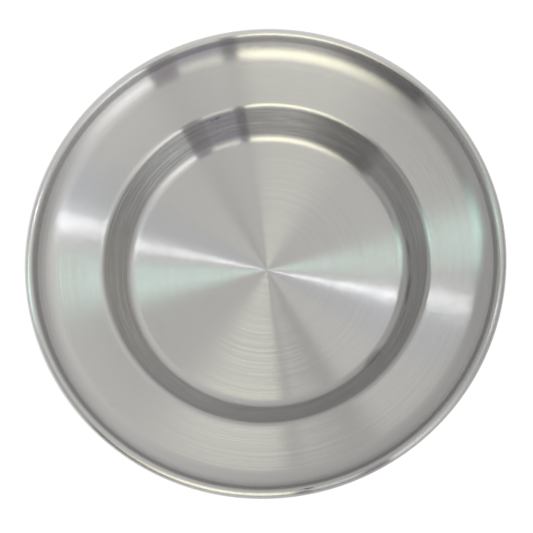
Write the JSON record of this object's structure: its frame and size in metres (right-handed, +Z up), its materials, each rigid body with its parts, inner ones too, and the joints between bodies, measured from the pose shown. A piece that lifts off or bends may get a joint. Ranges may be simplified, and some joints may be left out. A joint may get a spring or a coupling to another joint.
{
  "type": "deep plate",
  "caption": "Round brushed stainless-steel deep plate: flat floor, sloped well, wide flange, upturned lip and an edge rolled over a wire.",
  "frame": {"origin": "on the plate's axis, on the underside of the floor, where it rests on the table", "axes": "+Z up along the axis of the round plate; X and Y across it"},
  "size_m": [0.22, 0.22, 0.025],
  "materials": {
    "brushed_sheet": "circular brushed satin",
    "drawn_wire": "drawn, dull"
  },
  "bodies": {
    "root": {"pressed_dish": "brushed_sheet", "rim_wire": "drawn_wire"}
  },
  "joints": []
}
